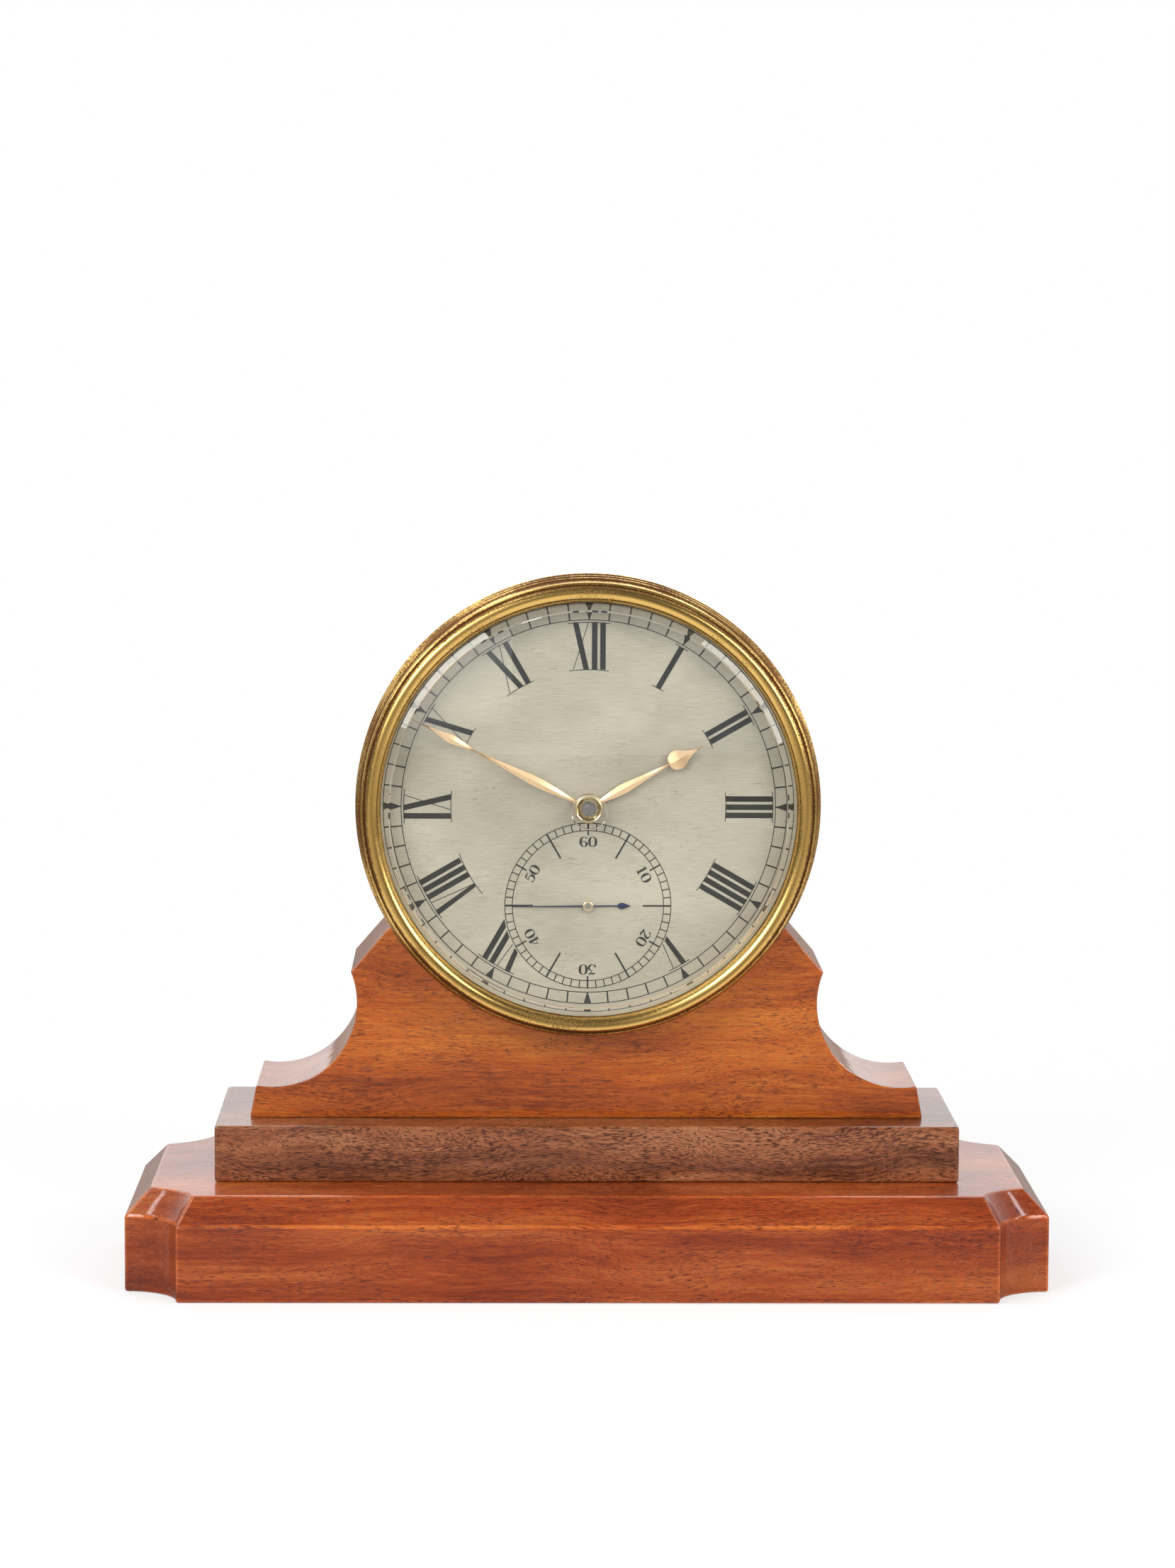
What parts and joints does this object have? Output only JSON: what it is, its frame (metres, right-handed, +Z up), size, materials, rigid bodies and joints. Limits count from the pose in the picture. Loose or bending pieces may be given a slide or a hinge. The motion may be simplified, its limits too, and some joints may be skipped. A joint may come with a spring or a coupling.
{
  "type": "marine chronometer",
  "caption": "Marine chronometer movement in a brass drum with a round silvered dial, seconds dial and moulded bezel, cradled on a stepped mahogany stand.",
  "frame": {"origin": "centre of the base block's underside", "axes": "+X to the right of a person facing the dial, +Y to the back, +Z up; the dial faces -Y"},
  "size_m": [0.2168, 0.088, 0.1676],
  "materials": {
    "base_mahogany": "french polished",
    "plinth_mahogany": "french polished",
    "bracket_mahogany": "french polished",
    "steel_screw": "polished steel",
    "blued_steel": "heat-blued steel",
    "drum_brass": "lacquered brass",
    "bezel_brass": "fine-turned gilt brass",
    "silvered_dial": "horizontally grained and silvered brass",
    "plate_brass": "spotted brass",
    "wheel_brass": "polished brass",
    "hand_gold": "polished gold",
    "hub_brass": "polished brass",
    "arbor_steel": "polished steel",
    "spring_steel": "blued spring steel",
    "glass": "clear"
  },
  "bodies": {
    "case": {"base_block": "base_mahogany", "plinth": "plinth_mahogany", "bracket": "bracket_mahogany", "stand_screws": "steel_screw", "drum": "drum_brass", "drum_screws": "steel_screw", "dial": "silvered_dial", "dial_feet": "plate_brass", "dial_pins": "plate_brass", "front_plate": "plate_brass", "back_plate": "plate_brass", "pillars": "plate_brass", "plate_screws": "blued_steel", "fusee_chain": "arbor_steel", "barrel_arbor": "arbor_steel", "setup_ratchet": "arbor_steel", "click_screw": "blued_steel", "minute_wheel_stud": "arbor_steel", "balance_potence": "plate_brass", "balance_cock": "plate_brass", "cock_screw": "blued_steel", "balance_spring": "blued_steel", "spring_stud": "arbor_steel", "detent_foot": "plate_brass", "shutter_screw": "steel_screw", "shutter_spring": "spring_steel"},
    "bezel_assembly": {"bezel": "bezel_brass", "glass": "glass"},
    "seconds_assembly": {"fourth_arbor": "arbor_steel", "fourth_wheel": "wheel_brass", "seconds_hand": "blued_steel", "seconds_hand_boss": "hub_brass"},
    "centre_assembly": {"centre_arbor": "arbor_steel", "centre_wheel": "wheel_brass", "cannon_pinion": "arbor_steel", "minute_hand": "hand_gold", "hand_hub": "hub_brass"},
    "third_assembly": {"third_arbor": "arbor_steel", "third_wheel": "wheel_brass"},
    "escape_assembly": {"escape_arbor": "arbor_steel", "escape_wheel": "wheel_brass"},
    "great_wheel_assembly": {"great_wheel": "wheel_brass"},
    "fusee_assembly": {"fusee_cone": "wheel_brass", "fusee_arbor": "arbor_steel"},
    "barrel_assembly": {"barrel": "wheel_brass", "barrel_cover": "wheel_brass", "mainspring": "spring_steel"},
    "minute_wheel_assembly": {"minute_wheel": "wheel_brass"},
    "hour_assembly": {"hour_wheel": "wheel_brass", "hour_hand": "hand_gold"},
    "balance_assembly": {"balance_wheel": "wheel_brass", "balance_weights": "wheel_brass", "balance_staff": "arbor_steel"},
    "detent_assembly": {"detent": "arbor_steel"},
    "click_assembly": {"ratchet_click": "arbor_steel"},
    "shutter_assembly": {"dust_shutter": "drum_brass"}
  },
  "joints": [
    {"name": "bezel_removal", "type": "slide", "parent": "case", "child": "bezel_assembly", "axis": [0, -1, 0], "range_m": [0, 0.04]},
    {"name": "seconds_turn", "type": "hinge", "parent": "case", "child": "seconds_assembly", "pos_m": [0, -0.0037, 0.0891], "axis": [0, 1, 0], "continuous": true},
    {"name": "centre_turn", "type": "hinge", "parent": "case", "child": "centre_assembly", "pos_m": [0, -0.0037, 0.1126], "axis": [0, 1, 0], "continuous": true},
    {"name": "third_turn", "type": "hinge", "parent": "case", "child": "third_assembly", "pos_m": [0.00747, -0.0037, 0.09925], "axis": [0, 1, 0], "continuous": true},
    {"name": "escape_turn", "type": "hinge", "parent": "case", "child": "escape_assembly", "pos_m": [-0.00974, -0.0037, 0.08347], "axis": [0, 1, 0], "continuous": true},
    {"name": "great_wheel_turn", "type": "hinge", "parent": "case", "child": "great_wheel_assembly", "pos_m": [-0.01655, -0.0037, 0.12915], "axis": [0, 1, 0], "continuous": true},
    {"name": "hour_turn", "type": "hinge", "parent": "case", "child": "hour_assembly", "pos_m": [0, -0.0037, 0.1126], "axis": [0, 1, 0], "continuous": true},
    {"name": "minute_wheel_turn", "type": "hinge", "parent": "case", "child": "minute_wheel_assembly", "pos_m": [0.00679, -0.0037, 0.10581], "axis": [0, 1, 0], "continuous": true},
    {"name": "winding_turn", "type": "hinge", "parent": "great_wheel_assembly", "child": "fusee_assembly", "pos_m": [-0.01655, -0.0037, 0.12915], "axis": [0, 1, 0], "range_deg": [0, 2520]},
    {"name": "barrel_turn", "type": "hinge", "parent": "case", "child": "barrel_assembly", "pos_m": [0.0195, -0.0037, 0.1256], "axis": [0, 1, 0], "range_deg": [0, 1764]},
    {"name": "balance_swing", "type": "hinge", "parent": "case", "child": "balance_assembly", "pos_m": [-0.01156, -0.0037, 0.09377], "axis": [0, 1, 0], "range_deg": [-200, 200], "stiffness_Nm_per_rad": 0.00009},
    {"name": "detent_lift", "type": "hinge", "parent": "case", "child": "detent_assembly", "pos_m": [-0.01798, -0.0037, 0.0815], "axis": [0, 1, 0], "range_deg": [-4, 0], "stiffness_Nm_per_rad": 0.00002, "springref_deg": 11.46},
    {"name": "click_lift", "type": "hinge", "parent": "case", "child": "click_assembly", "pos_m": [0.0222, -0.0037, 0.13569], "axis": [0, 1, 0], "range_deg": [0, 20], "stiffness_Nm_per_rad": 0.00005, "springref_deg": -11.46},
    {"name": "shutter_swing", "type": "hinge", "parent": "case", "child": "shutter_assembly", "pos_m": [-0.00806, -0.0037, 0.12066], "axis": [0, 1, 0], "range_deg": [0, 60], "stiffness_Nm_per_rad": 0.0004, "springref_deg": -28.65}
  ],
  "couplings": [
    {"joint": "centre_turn", "follows": "seconds_turn", "ratio": 0.016667},
    {"joint": "third_turn", "follows": "seconds_turn", "ratio": -0.125},
    {"joint": "escape_turn", "follows": "seconds_turn", "ratio": -8},
    {"joint": "great_wheel_turn", "follows": "seconds_turn", "ratio": -0.0025926},
    {"joint": "hour_turn", "follows": "seconds_turn", "ratio": 0.0013889},
    {"joint": "minute_wheel_turn", "follows": "seconds_turn", "ratio": -0.0055556},
    {"joint": "barrel_turn", "follows": "winding_turn", "ratio": 0.7}
  ]
}
